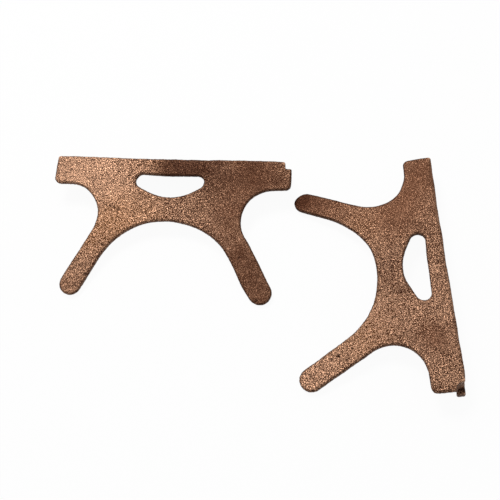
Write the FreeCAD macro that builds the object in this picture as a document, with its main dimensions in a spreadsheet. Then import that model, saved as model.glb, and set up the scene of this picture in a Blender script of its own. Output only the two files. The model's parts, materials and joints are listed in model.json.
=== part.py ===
"""A pair of cast copper jaw caps for a 5 1/2 inch bench vice, in millimetres.

Each cap is one casting. Its flat plate lies on top of a vice jaw and its flange hangs down over
the jaw's face. Two short arms and two long rounded legs reach out from the plate, to be bent down
round the jaw. The two caps come from one pattern and lie side by side, turned against each other.
A cap's own frame has the plate's top face in the XY plane, its straight edge along X and its legs
towards -Y. The pair's frame has +Z up and its origin under the middle of the pair.
"""
import FreeCAD, Part
import math
import os

import Sketcher

# Driving sizes, in millimetres and degrees. Left and right are as seen with the legs towards the viewer.
SIZES = (
    # Plate and flange
    ("left_end", 70.7),
    ("right_end", 72.2),
    ("plate_thickness", 3.5),
    ("flange_thickness", 4.5),
    ("flange_depth", 18.0),
    # Rounding of the bend between plate and flange, inside and outside
    ("root_radius", 1.5),
    ("bend_radius", 1.5),
    # Relief at the right end: a notch that parts the arm from the flange and leaves an ear below
    ("relief_length", 4.0),
    ("relief_height", 12.5),
    ("relief_clearance", 0.1),
    ("relief_corner_radius", 1.4),
    ("cut_overrun", 3.0),
    # Arms
    ("left_arm_depth", 16.4),
    ("left_arm_corner_radius", 3.1),
    ("right_arm_depth", 17.6),
    ("right_arm_corner_radius", 2.9),
    # Round hollows between the arms and the legs, and the waist that they leave
    ("left_hollow_radius", 20.1),
    ("left_waist", 42.5),
    ("right_hollow_radius", 20.0),
    ("right_waist", 43.3),
    # Arch between the legs
    ("arch_crown", 38.8),
    ("arch_radius", 43.7),
    ("arch_shift", 0.3),
    # Round leg tips, each with its centre set out from the arch's side and back from the straight edge
    ("left_leg_flare", 9.5),
    ("left_tip_back", 78.1),
    ("left_tip_radius", 6.1),
    ("right_leg_flare", 13.8),
    ("right_tip_back", 81.3),
    ("right_tip_radius", 6.6),
    # Window in the plate
    ("window_front", 10.1),
    ("window_back", 24.5),
    ("window_half_width", 20.9),
    ("window_shift", 0.8),
    ("window_corner_radius", 4.4),
    ("window_belly_blend", 3.0),
    # Corners of the straight edge seen from above, and the broken edges all round the casting
    ("end_corner_radius", 0.9),
    ("edge_break", 0.6),
    # Where the right cap lies, seen from the left one
    ("pair_across", 162.2),
    ("pair_back", 64.9),
    ("right_cap_angle", 84.1),
)
SHEET = "sizes"
LEFT_TURN = 1
RIGHT_TURN = -1


class Size:
    """A size with its number and the expression that says it to the document."""

    def __init__(self, value, text):
        self.value = value
        self.text = text

    def __add__(self, other):
        return Size(self.value + other.value, "(%s + %s)" % (self.text, other.text))

    def __sub__(self, other):
        return Size(self.value - other.value, "(%s - %s)" % (self.text, other.text))

    def __mul__(self, other):
        return Size(self.value * other.value, "(%s * %s)" % (self.text, other.text))

    def __truediv__(self, other):
        return Size(self.value / other.value, "(%s / %s)" % (self.text, other.text))

    def __neg__(self):
        return Size(-self.value, "(-%s)" % self.text)


def make_sheet(doc):
    """Fills the spreadsheet and returns its sizes by name."""
    sheet = doc.addObject("Spreadsheet::Sheet", SHEET)
    for row, (alias, value) in enumerate(SIZES, start=1):
        sheet.set("A%d" % row, alias)
        sheet.set("B%d" % row, str(value))
        sheet.setAlias("B%d" % row, alias)
    doc.recompute()
    return {alias: Size(float(sheet.get(alias)), "%s.%s" % (SHEET, alias)) for alias, _ in SIZES}


def plate_rounds(size):
    """The plate's outline as a belt of round stretches, each with its turn, centre and radius.

    The belt runs anticlockwise from the front left corner, and straight edges join its rounds.
    """
    edge = size["end_corner_radius"]
    left_corner = size["left_arm_corner_radius"]
    right_corner = size["right_arm_corner_radius"]
    arch_middle = -size["arch_shift"]
    left_reach = size["arch_radius"] + size["left_leg_flare"]
    right_reach = size["arch_radius"] + size["right_leg_flare"]
    return (
        (LEFT_TURN, edge - size["left_end"], -edge, edge),
        (LEFT_TURN, left_corner - size["left_end"], left_corner - size["left_arm_depth"], left_corner),
        (
            RIGHT_TURN,
            -(size["left_waist"] + size["left_hollow_radius"]),
            -(size["left_arm_depth"] + size["left_hollow_radius"]),
            size["left_hollow_radius"],
        ),
        (LEFT_TURN, arch_middle - left_reach, -size["left_tip_back"], size["left_tip_radius"]),
        (RIGHT_TURN, arch_middle, -(size["arch_crown"] + size["arch_radius"]), size["arch_radius"]),
        (LEFT_TURN, arch_middle + right_reach, -size["right_tip_back"], size["right_tip_radius"]),
        (
            RIGHT_TURN,
            size["right_waist"] + size["right_hollow_radius"],
            -(size["right_arm_depth"] + size["right_hollow_radius"]),
            size["right_hollow_radius"],
        ),
        (LEFT_TURN, size["right_end"] - right_corner, right_corner - size["right_arm_depth"], right_corner),
        (LEFT_TURN, size["right_end"] - edge, -edge, edge),
    )


def window_rounds(size):
    """The window's outline: a straight side towards the flange and a belly towards the legs.

    An arc that touches both corners would be the widest belly. The real one is tighter by the blend,
    which leaves a short straight side between each corner and the belly.
    """
    corner = size["window_corner_radius"]
    middle = -size["window_shift"]
    reach = size["window_half_width"] - corner
    front = -(size["window_front"] + corner)
    drop = size["window_back"] + front
    widest = (reach * reach + drop * drop - corner * corner) / (drop - corner + drop - corner)
    belly = widest - size["window_belly_blend"]
    return (
        (LEFT_TURN, middle + reach, front, corner),
        (LEFT_TURN, middle - reach, front, corner),
        (LEFT_TURN, middle, belly - size["window_back"], belly),
    )


def relief_rounds(size):
    """The relief's outline, a rounded box that runs out past the plate's corner."""
    corner = size["relief_corner_radius"]
    left = size["right_end"] - size["relief_length"] + corner
    back = corner - (size["flange_thickness"] + size["relief_clearance"])
    right = size["right_end"] + size["cut_overrun"]
    front = size["cut_overrun"]
    return (
        (LEFT_TURN, right, front, corner),
        (LEFT_TURN, left, front, corner),
        (LEFT_TURN, left, back, corner),
        (LEFT_TURN, right, back, corner),
    )


def heading_between(first, second):
    """Direction of the straight edge that leaves one round and runs into the next, in radians."""
    across = second[1].value - first[1].value
    along = second[2].value - first[2].value
    swing = (second[0] * second[3].value - first[0] * first[3].value) / math.hypot(across, along)
    return math.atan2(along, across) - math.asin(swing)


def touch_point(item, heading):
    """Point where the straight edge with this heading touches a round."""
    reach = item[0] * item[3].value
    x = item[1].value + reach * math.sin(heading)
    y = item[2].value - reach * math.cos(heading)
    return FreeCAD.Vector(x, y, 0)


def draw_belt(sketch, rounds):
    """Draws rounds and the straight edges between them, tangent to each other and bound to the sheet."""
    headings = [heading_between(item, rounds[(i + 1) % len(rounds)]) for i, item in enumerate(rounds)]
    arcs = []
    for i, (turn, across, along, radius) in enumerate(rounds):
        centre = FreeCAD.Vector(across.value, along.value, 0)
        angles = [heading - turn * math.pi / 2 for heading in (headings[i - 1], headings[i])]
        first, last = angles if turn == LEFT_TURN else reversed(angles)
        if last < first:
            last += 2 * math.pi
        circle = Part.Circle(centre, FreeCAD.Vector(0, 0, 1), radius.value)
        arcs.append(sketch.addGeometry(Part.ArcOfCircle(circle, first, last), False))
    lines = []
    for i, item in enumerate(rounds):
        following = rounds[(i + 1) % len(rounds)]
        ends = (touch_point(item, headings[i]), touch_point(following, headings[i]))
        lines.append(sketch.addGeometry(Part.LineSegment(*ends), False))
    for i, (turn, across, along, radius) in enumerate(rounds):
        enters, leaves = (1, 2) if turn == LEFT_TURN else (2, 1)
        sketch.addConstraint(Sketcher.Constraint("Tangent", lines[i - 1], 2, arcs[i], enters))
        sketch.addConstraint(Sketcher.Constraint("Tangent", arcs[i], leaves, lines[i], 1))
        bind(sketch, Sketcher.Constraint("DistanceX", -1, 1, arcs[i], 3, across.value), across)
        bind(sketch, Sketcher.Constraint("DistanceY", -1, 1, arcs[i], 3, along.value), along)
        bind(sketch, Sketcher.Constraint("Radius", arcs[i], radius.value), radius)


def bind(sketch, constraint, size):
    """Adds a constraint and ties its number to the sheet."""
    number = sketch.addConstraint(constraint)
    sketch.setExpression("Constraints[%d]" % number, size.text)


def add_profile(body, name, rounds):
    """A sketch of one belt on the body's XY plane, the plate's top face."""
    sketch = body.newObject("Sketcher::SketchObject", name)
    plane = next(item for item in body.Origin.OriginFeatures if item.Role == "XY_Plane")
    sketch.AttachmentSupport = [(plane, "")]
    sketch.MapMode = "FlatFace"
    draw_belt(sketch, rounds)
    return sketch


def add_downward(body, kind, name, profile, depth):
    """A pad or pocket that goes down from the plate's top face."""
    feature = body.newObject("PartDesign::" + kind, name)
    feature.Profile = profile
    feature.setExpression("Length", depth.text)
    feature.Reversed = kind == "Pad"
    body.Document.recompute()
    return feature


def add_flange(body, name, size):
    """The flange, a strip under the whole straight edge of the plate."""
    feature = body.newObject("PartDesign::AdditiveBox", name)
    feature.setExpression("Length", (size["left_end"] + size["right_end"]).text)
    feature.setExpression("Width", size["flange_thickness"].text)
    feature.setExpression("Height", size["flange_depth"].text)
    feature.setExpression("Placement.Base.x", (-size["left_end"]).text)
    feature.setExpression("Placement.Base.y", (-size["flange_thickness"]).text)
    feature.setExpression("Placement.Base.z", (-size["flange_depth"]).text)
    body.Document.recompute()
    return feature


def long_edge(feature, y, z):
    """Name of the straight edge that runs along X at this height and distance from the flange's face."""
    for number, edge in enumerate(feature.Shape.Edges, start=1):
        ends = [vertex.Point for vertex in edge.Vertexes]
        if all(math.isclose(end.y, y, abs_tol=1e-6) and math.isclose(end.z, z, abs_tol=1e-6) for end in ends):
            return "Edge%d" % number
    raise RuntimeError("no long edge at y %.2f z %.2f" % (y, z))


def round_edge(body, name, base, y, z, radius):
    """A fillet along one long edge."""
    feature = body.newObject("PartDesign::Fillet", name)
    feature.Base = (base, [long_edge(base, y, z)])
    feature.setExpression("Radius", radius.text)
    body.Document.recompute()
    return feature


def cast_cap(doc, label, size):
    """One jaw cap: plate, flange, window, rounded edges and relief, in the cap's own frame."""
    body = doc.addObject("PartDesign::Body", label)
    body.Label = label

    outline = add_profile(body, label + "_outline", plate_rounds(size))
    add_downward(body, "Pad", label + "_plate", outline, size["plate_thickness"])
    flange = add_flange(body, label + "_flange", size)

    inside = (-size["flange_thickness"].value, -size["plate_thickness"].value)
    root = round_edge(body, label + "_root", flange, *inside, size["root_radius"])
    bend = round_edge(body, label + "_bend", root, 0, 0, size["bend_radius"])
    opening = add_profile(body, label + "_opening", window_rounds(size))
    window = add_downward(body, "Pocket", label + "_window", opening, size["plate_thickness"])

    edges = body.newObject("PartDesign::Chamfer", label + "_edges")
    edges.Base = (window, [])
    edges.UseAllEdges = True
    edges.setExpression("Size", size["edge_break"].text)
    doc.recompute()

    corner = add_profile(body, label + "_corner", relief_rounds(size))
    relief = add_downward(body, "Pocket", label + "_relief", corner, size["relief_height"])
    body.Tip = relief
    doc.recompute()

    volumes = [item.Shape.Volume for item in (root, bend, window, edges, relief)]
    if any(after >= before for before, after in zip(volumes, volumes[1:])):
        raise RuntimeError("a cut of %s removes nothing" % label)
    return body


def resting_tilt(size):
    """Angle of the plate when the cap lies on its flange's lower edge and on the tip of its longer leg."""
    reaches = [size[side + "_tip_back"].value + size[side + "_tip_radius"].value for side in ("left", "right")]
    drop = size["flange_depth"].value - size["plate_thickness"].value
    return math.degrees(math.atan(drop / (max(reaches) - size["flange_thickness"].value)))


def place(body, across, back, turn, tilt):
    """Tilts a cap to rest on the table and turns it to its place in the pair."""
    up = FreeCAD.Rotation(FreeCAD.Vector(0, 0, 1), -turn)
    body.Placement = FreeCAD.Placement(
        FreeCAD.Vector(across, -back, 0), up * FreeCAD.Rotation(FreeCAD.Vector(1, 0, 0), tilt)
    )


def centre_pair(bodies):
    """Moves the pair so that the origin is under its middle, on the table."""
    boxes = [body.Shape.optimalBoundingBox() for body in bodies]
    middle_x = (min(box.XMin for box in boxes) + max(box.XMax for box in boxes)) / 2
    middle_y = (min(box.YMin for box in boxes) + max(box.YMax for box in boxes)) / 2
    for body, box in zip(bodies, boxes):
        placement = body.Placement
        placement.Base = placement.Base - FreeCAD.Vector(middle_x, middle_y, box.ZMin)
        body.Placement = placement


def check(doc, bodies):
    """Stops if any object failed or a cap isn't one sound solid."""
    for item in doc.Objects:
        if "Invalid" in item.State or "Error" in item.State:
            raise RuntimeError("%s failed" % item.Label)
    for body in bodies:
        shape = body.Shape
        if shape.isNull() or not shape.isValid() or len(shape.Solids) != 1:
            raise RuntimeError("%s isn't one sound solid" % body.Label)


def main():
    doc = FreeCAD.newDocument("jaw_caps")
    size = make_sheet(doc)
    left = cast_cap(doc, "left_jaw_cap", size)
    right = cast_cap(doc, "right_jaw_cap", size)
    tilt = resting_tilt(size)
    place(left, 0, 0, 0, tilt)
    place(right, size["pair_across"].value, size["pair_back"].value, size["right_cap_angle"].value, tilt)
    doc.recompute()
    centre_pair((left, right))
    doc.recompute()
    check(doc, (left, right))

    os.makedirs("parts", exist_ok=True)
    for body in (left, right):
        body.Shape.exportStep("parts/%s.step" % body.Label)
        box = body.Shape.optimalBoundingBox()
        print(body.Label, "volume %.0f mm3" % body.Shape.Volume, box)
    print("tilt %.2f degrees" % tilt)
    for body in (left, right):
        print(body.Label, "placed at", body.Placement)


main()
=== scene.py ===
import json
import math

import bmesh
import bpy
import numpy as np
from bpy.props import FloatProperty, FloatVectorProperty, IntProperty, PointerProperty
from bpy.types import Operator, Panel, PropertyGroup
from mathutils import Matrix, Vector, noise


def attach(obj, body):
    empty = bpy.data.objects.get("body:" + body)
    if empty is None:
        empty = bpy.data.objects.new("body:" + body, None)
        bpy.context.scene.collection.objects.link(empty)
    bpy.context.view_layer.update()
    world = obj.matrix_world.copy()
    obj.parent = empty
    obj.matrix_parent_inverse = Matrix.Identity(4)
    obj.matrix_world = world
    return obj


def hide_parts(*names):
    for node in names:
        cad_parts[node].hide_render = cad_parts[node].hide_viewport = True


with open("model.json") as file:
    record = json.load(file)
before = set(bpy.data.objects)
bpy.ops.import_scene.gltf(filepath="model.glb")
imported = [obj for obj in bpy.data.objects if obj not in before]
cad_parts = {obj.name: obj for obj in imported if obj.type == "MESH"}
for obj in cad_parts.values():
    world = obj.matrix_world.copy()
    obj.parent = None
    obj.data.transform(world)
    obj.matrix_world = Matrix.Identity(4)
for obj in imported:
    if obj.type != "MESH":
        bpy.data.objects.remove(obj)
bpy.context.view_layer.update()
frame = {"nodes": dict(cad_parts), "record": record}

bl_info = {
    "name": "Copper jaw caps",
    "version": (1, 0, 0),
    "blender": (4, 5, 0),
    "location": "3D View > Sidebar > Jaw caps",
    "description": "Builds a pair of sand-cast copper vice jaw caps on their stage",
    "category": "Object",
}

# Each cap starts as a copy of its CAD node. An even fine mesh is laid over it, the sand's print and the
# marks of casting and use are worked into that mesh, and the numbers that colour the copper are kept on it,
# among them painted shade, a painted sheen and a painted highlight.
# All of this is done in the cap's own frame: X along its straight edge, Y towards its flange and Z out of
# its plate, with the origin near the middle of the straight edge, on the plate's top face.

MM = 0.001
X, Y, Z = range(3)
SIDES = ("left", "right")
PLATE_THICKNESS = 3.5 * MM

# Vertices of the CAD mesh that lie closer than this are one
WELD_DISTANCE = 0.001 * MM
SMOOTHING = 0.5

# Start of each noise in its own space, and how far the second cap's noises lie from the first one's
GRAIN_START = (3, 7)
RIPPLE_START = (11, 5)
LUMP_START = (2, 9)
SIDE_SHIFT = 40.0
# Share of the grain's depth that is gone where it is worn smooth
CALM_LOSS = 0.5

# Soft limits on a cap: the axis, and the places in mm where the share is none and where it is full.
# First the notch at the right end
NOTCH_SIDE = (X, 67.6, 68.6)
NOTCH_BACK = (Y, -6.5, -5.0)
# The next three also mark where the notch's painted shade and painted corner shadow lie
NOTCH_INSIDE = (Z, -0.8, -2.5)
NOTCH_FLOOR = (Z, -10.5, -12.0)
NOTCH_WALL = (X, 69.8, 69.0)
# The stretch round the notch's wall that slants with it
SLANT_START = (X, 60.0, 67.5)
SLANT_END = (X, 71.0, 69.0)
SLANT_BOTTOM = (Z, -13.0, -11.0)
# The end of the flange that bends, and the ear on it
EAR_ROOT = (X, 60.0, 71.0)
EAR_BACK = (Y, -12.0, -4.0)
EAR_TIP = (X, 69.0, 72.0)
EAR_DROP = (Z, 0.0, -9.0)
# The plate, the walls round it and the flange's face, which set how deep the painted shade is, and the edge
# along that face, where the wear and the painted highlight lie
PLATE_BOTTOM = (Z, -6.0, -4.0)
RIM_BOTTOM = (Z, -5.0, -4.0)
RIM_FRONT = (Y, -1.0, -3.0)
FACE_BACK = (Y, -3.0, -1.0)
WORN_AND_HIGHLIT_EDGE_BACK = (Y, -3.5, -1.0)
# Half of the notch's depth from front to back, in mm
NOTCH_HALF_DEPTH = 2.5
# Share of the end's bend that its top takes
EAR_TOP_SHARE = 0.4

# How upright a normal is where a surface is still a wall and where it is level, and how much that grows on
# the walls round the plate, where the painted shade is deeper
WALL_LIMITS = (0.3, 0.9)
RIM_GROWTH = (0.35, 0.09)
# How upright a normal is where the top begins and where it is all top
TOP_LIMITS = (0.5, 0.9)
# Sharpness where an edge's wear and painted highlight begin and where they are full, in turns per metre
EDGE_LIMITS = (80, 320)
# How many times the sharpness is evened out between neighbours
EVENING_PASSES = 2

# The grain's level number, and how much the sand's print, a pit and the notch's painted corner shadow show
GRAIN_LEVEL = 0.5
GRAIN_SHADE = 0.22
RIPPLE_SHADE = 0.06
LUMP_SHADE = 0.25
PIT_SHADE = 1.5
CORNER_SHADOW_SHARE = 0.9
# How dark the walls' painted shade is, how much more so round the plate and how much less on the flange's
# face
WALL_SHADE = 0.65
RIM_EXTRA = 0.35
FACE_LESS = 0.4
# Share of that painted shade on each cap
SIDE_SHADE = {"left": 0.85, "right": 1.0}

# Noises of the skin: features per metre, detail and roughness
SPECKLE = (2600, 1, 0.5)
BLOTCH = (90, 4, 0.6)
STREAK = (330, 3, 0.6)

# Ways that a number of the skin is moved to another range: from low, from high, to low and to high
SPECKLE_HEIGHT = (0.3, 0.7, -1.25, 1.25)
BRIGHT_TOPS = (0.76, 1.3, 0, 1)
DARK_HOLLOWS = (0.53, 0.1, 0, 1)
BLOTCH_SHARE = (0.4, 0.65, 0, 0.2)
CALM_ROUGHNESS = (0, 1, 1, 0.25)
CLEAN_UNDER_TARNISH_AND_SHADE = (0, 1, 0.87, 0.12)
WEAR_AND_HIGHLIGHT_SHARE = (0.35, 0.6, 0.1, 0.8)
WALL_BARE = (0, 1, 1, 0.15)
METAL_SHARE = (0, 1, 0.35, 0.8)
# How much rougher than the mean the grain's hollows are, and how much smoother its tops
ROUGHNESS_SWING = 0.15

# Coats over the plain skin, from the first to the last: the number on the mesh, its greatest share, and
# the colour
# The paleness coat is partly a painted sheen of the key light, the tarnish coat partly painted shade, and
# the last coat is painted shade on the walls and in the notch
COATS = (
    ("paleness_and_painted_sheen", 0.5, "bright"),
    ("flush", 0.75, "warm"),
    ("calm", 0.85, "even"),
    ("tarnish_and_painted_shade", 0.9, "shade"),
    ("painted_wall_and_notch_shade", 0.95, "shade"),
)

# Width of the camera's sensor, in mm as Blender counts it
SENSOR_WIDTH = 36
FLOOR_HALF_WIDTH = 2.0
# How far the paper lies below the caps' lowest points
FLOOR_DROP = 0.05 * MM
WHITE = (1, 1, 1, 1)

# Marks left by the sand: place along X and Y, radius and depth, in mm
PITS = {
    "left": (
        (-45.1, -72.4, 0.8, 0.7),
        (-37.3, -55.2, 0.8, 0.6),
        (-53.8, -69.7, 0.7, 0.4),
        (-35.4, -30.7, 0.6, 0.4),
        (-32.9, -31.9, 0.7, 0.5),
        (-30.3, -33.1, 0.7, 0.5),
        (44.0, -60.8, 0.8, 0.5),
        (55.3, -86.1, 1.0, 0.7),
    ),
    "right": (
        (-69.5, -7.8, 0.7, 0.5),
        (46.0, -65.2, 0.7, 0.9),
        (47.8, -69.1, 0.5, 0.8),
        (48.8, -60.8, 0.5, 0.7),
        (55.9, -81.2, 0.6, 0.5),
    ),
}

# Where a casting came out off its pattern: place along X and Y, radius, and push along X and Y, in mm
PUSHES = {
    "left": (
        (0.0, 0.0, 60.0, 0.0, 0.45),
        (-66.0, 0.0, 22.0, 0.0, 1.2),
        (-69.0, -15.0, 10.0, -0.5, -0.5),
        (64.0, 0.0, 20.0, 0.0, 0.5),
        (0.0, -10.0, 15.0, 0.0, -0.5),
        (0.0, 2.0, 13.0, 0.0, 0.4),
        (-40.0, 1.0, 11.0, 0.0, 0.4),
        (36.0, 1.0, 11.0, 0.0, 0.35),
        (-44.0, -22.0, 7.0, -0.5, 0.0),
        (-18.0, -9.0, 7.0, 0.0, 0.45),
        (-9.0, -28.0, 8.0, 0.0, 0.4),
        (-18.0, -46.0, 8.0, 0.0, 0.4),
        (-62.0, -19.0, 8.0, 0.0, -0.4),
        (60.0, -18.0, 9.0, 0.0, -0.55),
        (53.0, -54.0, 8.0, 0.45, 0.0),
        (10.0, -42.0, 14.0, 0.0, -0.55),
        (-54.0, -80.0, 16.0, -0.3, -1.1),
        (-54.0, -72.0, 10.0, -0.6, 0.0),
        (46.0, -78.0, 10.0, -0.8, -0.3),
        (58.0, -66.0, 9.0, 0.4, 0.0),
    ),
    "right": (
        (-63.0, -82.0, 8.0, 1.1, 0.2),
        (-46.0, -38.0, 11.0, -0.8, 0.0),
        (-54.0, -18.0, 8.0, 0.0, -0.45),
        (14.0, -13.0, 10.0, 0.0, -0.45),
        (21.0, -18.0, 6.0, -0.5, 0.0),
        (10.0, -19.0, 6.0, 0.0, 0.6),
        (-2.0, 1.0, 11.0, 0.0, -0.4),
        (-72.0, -5.0, 12.0, -0.45, 0.2),
        (-33.0, 0.0, 11.0, 0.0, -0.4),
        (-18.0, -10.0, 7.0, 0.0, 0.45),
        (-18.0, -45.0, 8.0, 0.0, 0.4),
        (-34.0, -54.0, 8.0, 0.4, -0.3),
        (46.0, -31.0, 10.0, -0.55, 0.0),
        (8.0, -40.0, 14.0, 0.0, -0.55),
        (34.0, -54.0, 14.0, -0.4, 0.0),
        (63.0, -18.0, 8.0, 0.0, -0.5),
        (62.0, 1.0, 12.0, 0.0, 0.35),
        (-54.0, -58.0, 8.0, 0.0, 0.35),
    ),
}

# Stretches that are darker than the rest, partly tarnish and partly painted shade, or paler where the
# last number is below 0, partly pale copper and partly a painted sheen of the key light: place along X
# and Y and radius in mm, and how dark
TARNISH_AND_SHADE_SPOTS = {
    "left": (
        (-52.0, -8.0, 24.0, -0.85),
        (-28.0, -24.0, 13.0, -0.25),
        (4.0, -5.0, 17.0, 1.2),
        (28.0, -4.0, 16.0, 0.55),
        (54.0, -8.0, 22.0, 0.6),
        (28.0, -36.0, 18.0, 0.3),
        (46.0, -64.0, 17.0, 0.5),
        (55.0, -84.0, 15.0, 0.4),
        (-38.0, -58.0, 12.0, 0.15),
        (-50.0, -76.0, 12.0, -0.15),
    ),
    "right": (
        (-61.0, -87.0, 13.0, 1.1),
        (-52.0, -76.0, 14.0, 0.45),
        (-47.0, -60.0, 12.0, 0.2),
        (-62.0, -12.0, 24.0, 0.15),
        (0.0, -33.0, 13.0, 0.3),
        (24.0, -5.0, 14.0, -0.35),
        (52.0, -72.0, 20.0, -0.4),
        (28.0, -42.0, 14.0, -0.15),
        (44.0, -10.0, 12.0, 0.25),
        (63.0, -8.0, 10.0, -0.2),
        (0.0, -30.0, 60.0, 0.13),
    ),
}

# Stretches whose grain is worn smooth: place along X and Y and radius in mm, and how much
CALM = {
    "left": (
        (50.0, -12.0, 22.0, 0.8),
        (36.0, -38.0, 16.0, 0.45),
        (47.0, -62.0, 15.0, 0.65),
        (56.0, -84.0, 14.0, 0.7),
        (-54.0, -80.0, 12.0, 0.35),
    ),
    "right": (
        (-62.0, -10.0, 26.0, 0.9),
        (-34.0, -26.0, 18.0, 0.7),
        (-46.0, -60.0, 16.0, 0.6),
        (-56.0, -82.0, 16.0, 0.9),
        (42.0, -12.0, 10.0, 0.7),
        (16.0, -9.0, 8.0, 0.3),
    ),
}

# Stretches where the copper shows warmer: place along X and Y and radius in mm, and how much
FLUSH = {
    "left": (
        (-30.0, -38.0, 15.0, 0.9),
        (-46.0, -50.0, 12.0, 0.5),
        (-8.0, -34.0, 10.0, 0.3),
        (-4.0, -4.0, 12.0, 0.4),
    ),
    "right": (
        (36.0, -52.0, 16.0, 0.35),
        (-30.0, -46.0, 12.0, 0.3),
    ),
}


class CastingSettings(PropertyGroup):
    """Sizes of the castings' surface."""

    voxel: FloatProperty(
        name="Mesh size", description="Edge length of the surface mesh",
        default=0.44 * MM, unit="LENGTH", precision=5,
    )
    rounding: IntProperty(
        name="Rounding", description="Smoothing steps that wear the sharp edges round", default=3,
    )
    grain_size: FloatProperty(
        name="Grain size", description="Width of one grain of the sand's print",
        default=0.9 * MM, unit="LENGTH",
    )
    grain_depth: FloatProperty(
        name="Grain depth", description="Depth of the sand's print",
        default=0.17 * MM, unit="LENGTH", precision=5,
    )
    ripple_size: FloatProperty(
        name="Ripple size", description="Width of the clumps of grains",
        default=2.2 * MM, unit="LENGTH",
    )
    ripple_depth: FloatProperty(
        name="Ripple depth", description="Depth of the clumps of grains",
        default=0.07 * MM, unit="LENGTH", precision=5,
    )
    lump_size: FloatProperty(
        name="Lump size", description="Width of the slow unevenness of the casting",
        default=8.0 * MM, unit="LENGTH",
    )
    lump_depth: FloatProperty(
        name="Lump depth", description="Depth of the slow unevenness",
        default=0.2 * MM, unit="LENGTH", precision=5,
    )
    inset: FloatProperty(
        name="Inset", description="How far the rough skin lies under the solid's face",
        default=0.22 * MM, unit="LENGTH", precision=5,
    )
    fullness: FloatProperty(
        name="Fullness", description="How far the plate's edges stand out",
        default=0.15 * MM, unit="LENGTH", precision=5,
    )
    notch_slant: FloatProperty(
        name="Notch slant", description="How far the right cap's notch is out of square at its corners",
        default=1.3 * MM, unit="LENGTH",
    )
    ear_wear: FloatProperty(
        name="Ear wear", description="How much the ear is worn short",
        default=1.1 * MM, unit="LENGTH",
    )
    ear_bend: FloatProperty(
        name="Ear bend", description="How far the flange's right end leans back from its face",
        default=0.9 * MM, unit="LENGTH",
    )


class CopperSettings(PropertyGroup):
    """Colours of the cast copper."""

    # Also the colour of the painted sheen on the paler stretches and of the painted highlight along the
    # bend
    bright: FloatVectorProperty(
        name="Bright copper", description="Colour of the grain's worn tops",
        subtype="COLOR", default=(0.72, 0.413, 0.26),
    )
    brown: FloatVectorProperty(
        name="Brown copper", description="Colour of the skin",
        subtype="COLOR", default=(0.07, 0.024, 0.0084),
    )
    # Also the colour of the painted shadow in the notch's corner
    dark: FloatVectorProperty(
        name="Dark copper", description="Colour in the grain's hollows",
        subtype="COLOR", default=(0.028, 0.009, 0.005),
    )
    even: FloatVectorProperty(
        name="Worn copper", description="Colour where the grain is worn smooth",
        subtype="COLOR", default=(0.15, 0.06, 0.03),
    )
    warm: FloatVectorProperty(
        name="Warm copper", description="Colour of the flushed stretches",
        subtype="COLOR", default=(0.27, 0.11, 0.03),
    )
    # Also the colour of the painted shade on the walls, in the notch and in the darker stretches
    shade: FloatVectorProperty(
        name="Tarnish", description="Colour of the tarnished stretches and of the walls",
        subtype="COLOR", default=(0.046, 0.014, 0.006),
    )
    roughness: FloatProperty(
        name="Roughness", description="Mean roughness of the skin",
        default=0.5, min=0.0, max=1.0, subtype="FACTOR",
    )
    gloss: FloatProperty(
        name="Gloss", description="Strength of the reflection that isn't metal",
        default=0.04, min=0.0, max=1.0, subtype="FACTOR",
    )
    speckle_depth: FloatProperty(
        name="Speckle depth", description="Depth of the finest grain, which is too small for the mesh",
        default=0.2 * MM, unit="LENGTH", precision=5,
    )


class StageSettings(PropertyGroup):
    """Camera, light and floor."""

    lens: FloatProperty(
        name="Lens", description="Focal length on a 36 mm sensor", default=57.82, unit="CAMERA",
    )
    azimuth: FloatProperty(
        name="Azimuth", description="Turn of the view from +Y towards -X",
        default=math.radians(6.846), subtype="ANGLE",
    )
    elevation: FloatProperty(
        name="Elevation", description="Height of the view above the horizon",
        default=math.radians(62.9), subtype="ANGLE",
    )
    roll: FloatProperty(
        name="Roll", description="Clockwise turn of the camera about its view",
        default=math.radians(4.609), subtype="ANGLE",
    )
    distance: FloatProperty(
        name="Distance", description="From the camera to the point it aims at",
        default=459.67 * MM, unit="LENGTH",
    )
    aim: FloatVectorProperty(
        name="Aim", description="The point that the camera looks at",
        default=(22.84 * MM, 13.62 * MM, 18.4 * MM), subtype="TRANSLATION",
    )
    shift: FloatVectorProperty(
        name="Shift", description="Shift of the picture, in frame widths", size=2, default=(-0.08, -0.02),
    )
    floor: FloatVectorProperty(
        name="Floor", description="Colour of the floor", subtype="COLOR", default=(0.9, 0.9, 0.9),
    )
    floor_roughness: FloatProperty(
        name="Floor roughness", description="Roughness of the paper",
        default=0.9, min=0.0, max=1.0, subtype="FACTOR",
    )
    floor_glow: FloatProperty(
        name="Floor glow", description="Share of plain white in what is seen of the floor",
        default=0.95, min=0.0, max=1.0, subtype="FACTOR",
    )
    ambient: FloatProperty(
        name="Ambient", description="Strength of the light from all round", default=0.4,
    )
    key_power: FloatProperty(
        name="Key light", description="Power of the key light", default=5.3, unit="POWER",
    )
    key_place: FloatVectorProperty(
        name="Key light's place", description="Where the key light hangs",
        default=(-0.25, 0.42, 0.82), subtype="TRANSLATION",
    )
    key_size: FloatProperty(
        name="Key light's size", description="Width of the key light", default=0.3, unit="LENGTH",
    )


def cap_plane(side):
    """A cap's own frame in the world, from the faces that its mounts state."""
    mounts = {mount["name"]: mount for mount in frame["record"]["mounts"]}
    seat = mounts[side + "_top_seat"]
    grip = mounts[side + "_grip_face"]
    up = -Vector(seat["axis"])
    front = Vector(grip["axis"])
    along = front.cross(up)
    face = Vector(grip["pos_m"])
    rise = (Vector(seat["pos_m"]) - face).dot(up) + PLATE_THICKNESS
    plane = Matrix((along, front, up)).transposed().to_4x4()
    plane.translation = face + up * rise
    return plane


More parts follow.
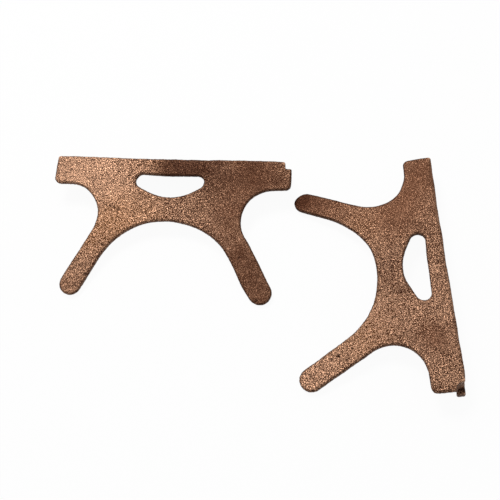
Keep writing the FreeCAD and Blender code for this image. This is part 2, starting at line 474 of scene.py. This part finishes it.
def put_in_scene(name, data):
    """A new object of the scene with this mesh, lamp or camera."""
    obj = bpy.data.objects.new(name, data)
    bpy.context.scene.collection.objects.link(obj)
    return obj


def settled(obj):
    """The object's mesh with its modifiers applied."""
    graph = bpy.context.evaluated_depsgraph_get()
    return bpy.data.meshes.new_from_object(obj.evaluated_get(graph))


def even_skin(node, plane, settings):
    """A copy of a CAD node in its own frame, with an even fine mesh and its edges worn round."""
    raw = bpy.data.meshes.new(node + "_copy")
    bm = bmesh.new()
    bm.from_mesh(frame["nodes"][node].data)
    bmesh.ops.remove_doubles(bm, verts=bm.verts, dist=WELD_DISTANCE)
    bmesh.ops.transform(bm, matrix=plane.inverted(), verts=bm.verts)
    bm.to_mesh(raw)
    bm.free()
    obj = put_in_scene(node + "_copy", raw)
    remesh = obj.modifiers.new("Even mesh", "REMESH")
    remesh.mode = "VOXEL"
    remesh.voxel_size = settings.voxel * 1
    smooth = obj.modifiers.new("Worn edges", "SMOOTH")
    smooth.factor = SMOOTHING
    smooth.iterations = settings.rounding
    mesh = settled(obj)
    bpy.data.objects.remove(obj)
    return mesh


def vectors_of(items, name):
    """One row of three numbers for each item of a mesh."""
    flat = np.empty(len(items) * 3)
    items.foreach_get(name, flat)
    return flat.reshape(-1, 3)


def noise_over(points, cell, start):
    """Smooth noise at each point, about -1 to 1, with features one cell wide."""
    shift = Vector(start)
    return np.array([noise.noise(Vector(point) / cell + shift) for point in points])


def smooth_step(value, low, high):
    """0 at low, 1 at high and a soft rise between them. Low may be the greater one."""
    share = np.clip((value - low) / (high - low), 0, 1)
    return share * share * (3 - 2 * share)


def within(points, *limits):
    """How far each point is inside all of some soft limits, from 0 to 1."""
    share = np.ones(len(points))
    for axis, none, full in limits:
        share *= smooth_step(points[:, axis], none * MM, full * MM)
    return share


def spots_over(points, spots):
    """Sum of round soft spots at each point, from rows of place, radius and strength."""
    total = np.zeros(len(points))
    for across, back, radius, strength in spots:
        reach = np.hypot(points[:, X] - across * MM, points[:, Y] - back * MM) / (radius * MM)
        total += strength * np.exp(-reach ** 2)
    return total


def pushed_by(points, pushes):
    """How far each point is moved by soft pushes, from rows of place, radius and push along X and Y."""
    shift = np.zeros_like(points)
    for across, back, radius, push_x, push_y in pushes:
        share = spots_over(points, [(across, back, radius, MM)])
        shift[:, X] += push_x * share
        shift[:, Y] += push_y * share
    return shift


def sharpness(mesh, points, normals):
    """How sharply the surface turns outwards at each point, in turns per metre."""
    count = len(points)
    edges = np.empty(len(mesh.edges) * 2, dtype=np.int64)
    mesh.edges.foreach_get("vertices", edges)
    first, second = edges[0::2], edges[1::2]
    neighbours = np.bincount(edges, minlength=count)

    def around(values):
        total = np.bincount(first, values[second], count) + np.bincount(second, values[first], count)
        return total / neighbours

    middle = np.stack([around(points[:, axis]) for axis in (X, Y, Z)], axis=1)
    step = np.linalg.norm(points[first] - points[second], axis=1).mean()
    turn = ((points - middle) * normals).sum(axis=1) / step ** 2
    for _ in range(EVENING_PASSES):
        turn = around(turn)
    return turn


def shape_end(points, in_notch, side, settings):
    """Slants the right cap's notch, wears the ear below the notch short and bends the end back."""
    across = np.clip(-points[:, Y] / MM / NOTCH_HALF_DEPTH - 1, -1, 1) * within(points, NOTCH_BACK)
    slant = settings.notch_slant if side == "right" else 0
    near_notch = within(points, SLANT_START, SLANT_END)
    points[:, X] += slant * across * near_notch * within(points, SLANT_BOTTOM)
    points[:, X] -= settings.ear_wear * in_notch * within(points, NOTCH_FLOOR) * within(points, EAR_TIP)
    lean = EAR_TOP_SHARE + (1 - EAR_TOP_SHARE) * within(points, EAR_DROP)
    points[:, Y] -= settings.ear_bend * within(points, EAR_ROOT, EAR_BACK) * lean


def print_sand(mesh, side, settings):
    """Works the sand's print and the casting's marks into a mesh, and keeps the skin's numbers on it.

    Some of those numbers are painted shade, a painted sheen and a painted highlight.
    """
    points = vectors_of(mesh.vertices, "co")
    normals = vectors_of(mesh.vertex_normals, "vector")
    edge_wear_and_highlight = smooth_step(sharpness(mesh, points, normals), *EDGE_LIMITS)
    uprightness = np.abs(normals[:, Z])
    on_top = smooth_step(normals[:, Z], *TOP_LIMITS)

    seed = SIDE_SHIFT * (1 + SIDES.index(side))
    grain = noise_over(points, settings.grain_size, (seed, *GRAIN_START))
    ripple = noise_over(points, settings.ripple_size, (seed, *RIPPLE_START))
    lump = noise_over(points, settings.lump_size, (seed, *LUMP_START))
    calm = np.clip(spots_over(points, CALM[side]), 0, 1)
    height = (settings.grain_depth * grain + settings.ripple_depth * ripple) * (1 - CALM_LOSS * calm)
    height += settings.lump_depth * lump
    wall = 1 - smooth_step(uprightness, *WALL_LIMITS)
    in_notch = within(points, NOTCH_SIDE, NOTCH_BACK)
    on_plate = np.maximum(within(points, PLATE_BOTTOM), in_notch)
    inset = settings.inset * (1 - wall * on_plate) - settings.fullness * wall * on_plate
    points += normals * (height - inset)[:, None]

    pits = spots_over(points, PITS[side])
    points[:, Z] -= pits * MM * on_top

    # Darker stretches are partly tarnish and partly painted shade; below 0 they are paler, partly a painted
    # sheen; the lumps add random tone
    tarnish_and_painted_shade = spots_over(points, TARNISH_AND_SHADE_SPOTS[side]) + LUMP_SHADE * lump
    # Painted shade: the notch's recess, a painted shadow in its corner, and the walls, darker the more
    # upright they are, deeper round the plate and lighter on the flange's face
    recess = in_notch * within(points, NOTCH_INSIDE)
    painted_corner_shadow = recess * within(points, NOTCH_WALL) * within(points, NOTCH_FLOOR)
    on_rim = within(points, RIM_BOTTOM, RIM_FRONT)
    limits = [limit + growth * on_rim for limit, growth in zip(WALL_LIMITS, RIM_GROWTH)]
    shaded = SIDE_SHADE[side] * (1 - smooth_step(uprightness, *limits))
    shaded *= WALL_SHADE + RIM_EXTRA * on_rim - FACE_LESS * within(points, FACE_BACK)

    shape_end(points, in_notch, side, settings)
    points += pushed_by(points, PUSHES[side])
    mesh.vertices.foreach_set("co", points.ravel())

    numbers = {
        "grain": GRAIN_LEVEL + (GRAIN_SHADE * grain + RIPPLE_SHADE * ripple) * (1 - recess),
        # The pits' number also holds the painted shadow in the notch's corner
        "pits": np.clip(PIT_SHADE * pits * on_top + CORNER_SHADOW_SHARE * painted_corner_shadow, 0, 1),
        "tarnish_and_painted_shade": np.clip(tarnish_and_painted_shade, 0, 1),
        "paleness_and_painted_sheen": np.clip(-tarnish_and_painted_shade, 0, 1),
        "flush": np.clip(spots_over(points, FLUSH[side]), 0, 1),
        "calm": calm,
        "painted_wall_and_notch_shade": np.maximum(shaded, recess),
        # Wear and a painted highlight on sharp edges, kept to the bend along the flange's face
        "edge_wear_and_highlight": edge_wear_and_highlight * within(points, WORN_AND_HIGHLIT_EDGE_BACK),
    }
    for name, values in numbers.items():
        mesh.attributes.new(name, "FLOAT", "POINT").data.foreach_set("value", values)
    mesh.update()


def add_piece(name, mesh, node, material):
    """Puts a finished mesh in the scene in place of its CAD node."""
    mesh.materials.append(material)
    mesh.shade_smooth()
    obj = put_in_scene(name, mesh)
    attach(obj, "root")
    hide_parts(node)


class NodeGraph:
    """The nodes of a material or of the world, with short ways to add to them."""

    def __init__(self, owner):
        owner.use_nodes = True
        self.nodes = owner.node_tree.nodes
        self.links = owner.node_tree.links

    def noise(self, place, scale, detail, roughness):
        """A noise texture on the coordinates of a place node's object."""
        node = self.nodes.new("ShaderNodeTexNoise")
        node.inputs["Scale"].default_value = scale
        node.inputs["Detail"].default_value = detail
        node.inputs["Roughness"].default_value = roughness
        self.links.new(place.outputs["Object"], node.inputs["Vector"])
        return node.outputs["Fac"]

    def attribute(self, name):
        """A number kept on the mesh."""
        node = self.nodes.new("ShaderNodeAttribute")
        node.attribute_name = name
        return node.outputs["Fac"]

    def moved(self, source, low, high, to_low, to_high):
        """A number moved from one range to another and held inside it."""
        node = self.nodes.new("ShaderNodeMapRange")
        node.inputs["From Min"].default_value = low
        node.inputs["From Max"].default_value = high
        node.inputs["To Min"].default_value = to_low
        node.inputs["To Max"].default_value = to_high
        self.links.new(source, node.inputs["Value"])
        return node.outputs["Result"]

    def joined(self, kind, first, second):
        """Two numbers added, multiplied or otherwise joined."""
        node = self.nodes.new("ShaderNodeMath")
        node.operation = kind
        self.links.new(first, node.inputs[0])
        self.links.new(second, node.inputs[1])
        return node.outputs["Value"]

    def mixed(self, share, first, second):
        """A blend of two colours, each a node's output or a plain colour, by the second one's share."""
        node = self.nodes.new("ShaderNodeMix")
        node.data_type = "RGBA"
        self.links.new(share, node.inputs["Factor"])
        for socket, colour in ((node.inputs["A"], first), (node.inputs["B"], second)):
            if isinstance(colour, bpy.types.NodeSocket):
                self.links.new(colour, socket)
            else:
                socket.default_value = (*colour, 1)
        return node.outputs["Result"]

    def seen_plain(self):
        """1 for what the camera sees, also in a reflection or through glass, and 0 for other light."""
        path = self.nodes.new("ShaderNodeLightPath")
        direct = self.joined("MAXIMUM", path.outputs["Is Camera Ray"], path.outputs["Is Glossy Ray"])
        return self.joined("MAXIMUM", direct, path.outputs["Is Transmission Ray"])


def skin_colour(graph, settings, height, place):
    """Brown skin under its coats, with bright tops, dark hollows, worn edges and dark pits.

    Some coats are painted shade and a painted sheen, the worn edges carry a painted highlight along the
    bend, and the pits a painted shadow in the notch's corner.
    """
    blotch = graph.moved(graph.noise(place, *BLOTCH), *BLOTCH_SHARE)
    colour = graph.mixed(blotch, settings.brown, settings.bright)
    for name, share, coat in COATS:
        cover = graph.moved(graph.attribute(name), 0, 1, 0, share)
        colour = graph.mixed(cover, colour, getattr(settings, coat))

    rough = graph.moved(graph.attribute("calm"), *CALM_ROUGHNESS)
    clean = graph.moved(graph.attribute("tarnish_and_painted_shade"), *CLEAN_UNDER_TARNISH_AND_SHADE)
    shining = graph.joined("MULTIPLY", clean, rough)
    tops = graph.joined("MULTIPLY", graph.moved(height, *BRIGHT_TOPS), shining)
    hollows = graph.joined("MULTIPLY", graph.moved(height, *DARK_HOLLOWS), rough)
    # Worn edges, which also carry a painted highlight along the bend
    streak = graph.moved(graph.noise(place, *STREAK), *WEAR_AND_HIGHLIGHT_SHARE)
    wear = graph.joined("MULTIPLY", graph.attribute("edge_wear_and_highlight"), streak)
    colour = graph.mixed(tops, colour, settings.bright)
    colour = graph.mixed(hollows, colour, settings.dark)
    colour = graph.mixed(wear, colour, settings.bright)
    # Dark pits, and the painted shadow in the notch's corner
    return graph.mixed(graph.attribute("pits"), colour, settings.dark)


def copper_skin(settings):
    """Rough sand-cast copper, which is metal where it is bright and dull where it is dark."""
    material = bpy.data.materials.new("cast_copper_skin")
    graph = NodeGraph(material)
    shader = graph.nodes["Principled BSDF"]
    place = graph.nodes.new("ShaderNodeTexCoord")
    speckle = graph.noise(place, *SPECKLE)
    height = graph.joined("ADD", graph.attribute("grain"), graph.moved(speckle, *SPECKLE_HEIGHT))
    graph.links.new(skin_colour(graph, settings, height, place), shader.inputs["Base Color"])

    # The walls and the notch under painted shade are also less metal
    bare = graph.moved(graph.attribute("painted_wall_and_notch_shade"), *WALL_BARE)
    metal = graph.moved(graph.moved(height, *BRIGHT_TOPS), *METAL_SHARE)
    graph.links.new(graph.joined("MULTIPLY", metal, bare), shader.inputs["Metallic"])
    shader.inputs["Specular IOR Level"].default_value = settings.gloss
    roughest = settings.roughness + ROUGHNESS_SWING
    smoothest = settings.roughness - ROUGHNESS_SWING
    graph.links.new(graph.moved(height, 0, 1, roughest, smoothest), shader.inputs["Roughness"])

    bump = graph.nodes.new("ShaderNodeBump")
    bump.inputs["Strength"].default_value = 1
    bump.inputs["Distance"].default_value = settings.speckle_depth
    graph.links.new(speckle, bump.inputs["Height"])
    graph.links.new(bump.outputs["Normal"], shader.inputs["Normal"])
    return material


def paper_floor(settings):
    """White paper that shows plain white and keeps a soft shadow."""
    material = bpy.data.materials.new("paper_floor")
    graph = NodeGraph(material)
    shader = graph.nodes["Principled BSDF"]
    shader.inputs["Base Color"].default_value = (*settings.floor, 1)
    shader.inputs["Roughness"].default_value = settings.floor_roughness
    glow = graph.nodes.new("ShaderNodeEmission")
    glow.inputs["Color"].default_value = WHITE
    blend = graph.nodes.new("ShaderNodeMixShader")
    share = graph.moved(graph.seen_plain(), 0, 1, 0, settings.floor_glow)
    graph.links.new(share, blend.inputs["Fac"])
    graph.links.new(shader.outputs["BSDF"], blend.inputs[1])
    graph.links.new(glow.outputs["Emission"], blend.inputs[2])
    graph.links.new(blend.outputs["Shader"], graph.nodes["Material Output"].inputs["Surface"])
    return material


def add_floor(settings):
    """A wide sheet of paper just under the caps."""
    bm = bmesh.new()
    bmesh.ops.create_grid(bm, x_segments=1, y_segments=1, size=FLOOR_HALF_WIDTH)
    mesh = bpy.data.meshes.new("floor")
    bm.to_mesh(mesh)
    bm.free()
    mesh.transform(Matrix.Translation((0, 0, -FLOOR_DROP)))
    mesh.materials.append(paper_floor(settings))
    floor = put_in_scene("floor", mesh)


def light_world(settings):
    """Plain pale surroundings, white to the camera and in reflections."""
    world = bpy.data.worlds.new("studio")
    bpy.context.scene.world = world
    graph = NodeGraph(world)
    backdrop = graph.nodes["Background"]
    backdrop.inputs["Color"].default_value = WHITE
    strength = graph.moved(graph.seen_plain(), 0, 1, settings.ambient, 1)
    graph.links.new(strength, backdrop.inputs["Strength"])


def add_key_light(settings):
    """A square soft light that faces the middle of the pair."""
    data = bpy.data.lights.new("key", "AREA")
    data.energy = settings.key_power
    data.size = settings.key_size
    lamp = put_in_scene("key", data)
    lamp.location = settings.key_place
    lamp.rotation_euler = (-Vector(settings.key_place)).to_track_quat("-Z", "Y").to_euler()


def add_camera(settings):
    """The camera of the photograph."""
    data = bpy.data.cameras.new("camera")
    data.lens = settings.lens
    data.sensor_width = SENSOR_WIDTH
    data.shift_x, data.shift_y = settings.shift
    camera = put_in_scene("camera", data)
    back = Vector((0, -math.cos(settings.elevation), math.sin(settings.elevation)))
    back = Matrix.Rotation(settings.azimuth, 3, "Z") @ back
    tilt = Matrix.Rotation(math.pi / 2 - settings.elevation, 4, "X")
    turn = Matrix.Rotation(settings.azimuth, 4, "Z") @ tilt
    place = Matrix.Translation(Vector(settings.aim) + back * settings.distance)
    camera.matrix_world = place @ turn @ Matrix.Rotation(-settings.roll, 4, "Z")
    bpy.context.scene.camera = camera


class OBJECT_OT_cast_jaw_caps(Operator):
    """Builds both cast copper jaw caps over their CAD solids"""

    bl_idname = "object.cast_jaw_caps"
    bl_label = "Cast jaw caps"

    def execute(self, context):
        settings = context.scene.jaw_cap_casting
        copper = copper_skin(context.scene.jaw_cap_copper)
        for side in SIDES:
            node = side + "_jaw_cap"
            plane = cap_plane(side)
            mesh = even_skin(node, plane, settings)
            print_sand(mesh, side, settings)
            mesh.transform(plane)
            add_piece(side + "_cap_casting", mesh, node, copper)
        return {"FINISHED"}


class OBJECT_OT_jaw_cap_stage(Operator):
    """Builds the camera, the lights and the floor"""

    bl_idname = "object.jaw_cap_stage"
    bl_label = "Stage"

    def execute(self, context):
        settings = context.scene.jaw_cap_stage
        add_floor(settings)
        light_world(settings)
        add_key_light(settings)
        add_camera(settings)
        context.scene.view_settings.view_transform = "Standard"
        return {"FINISHED"}


class VIEW3D_PT_jaw_caps(Panel):
    """Sizes, colours and steps of the jaw caps"""

    bl_label = "Jaw caps"
    bl_idname = "VIEW3D_PT_jaw_caps"
    bl_space_type = "VIEW_3D"
    bl_region_type = "UI"
    bl_category = "Jaw caps"

    def draw(self, context):
        for group in GROUPS:
            settings = getattr(context.scene, group)
            box = self.layout.box()
            for name in settings.__annotations__:
                box.prop(settings, name)
        for step in STEPS:
            self.layout.operator(step)


GROUPS = {
    "jaw_cap_casting": CastingSettings,
    "jaw_cap_copper": CopperSettings,
    "jaw_cap_stage": StageSettings,
}
OPERATORS = (OBJECT_OT_cast_jaw_caps, OBJECT_OT_jaw_cap_stage)
STEPS = [operator.bl_idname for operator in OPERATORS]
CLASSES = (*GROUPS.values(), *OPERATORS, VIEW3D_PT_jaw_caps)


def register():
    for kind in CLASSES:
        bpy.utils.register_class(kind)
    for name, kind in GROUPS.items():
        setattr(bpy.types.Scene, name, PointerProperty(type=kind))


def unregister():
    for name in GROUPS:
        delattr(bpy.types.Scene, name)
    for kind in reversed(CLASSES):
        bpy.utils.unregister_class(kind)


def main():
    register()
    bpy.ops.object.cast_jaw_caps()
    bpy.ops.object.jaw_cap_stage()


if __name__ == "__main__":
    main()
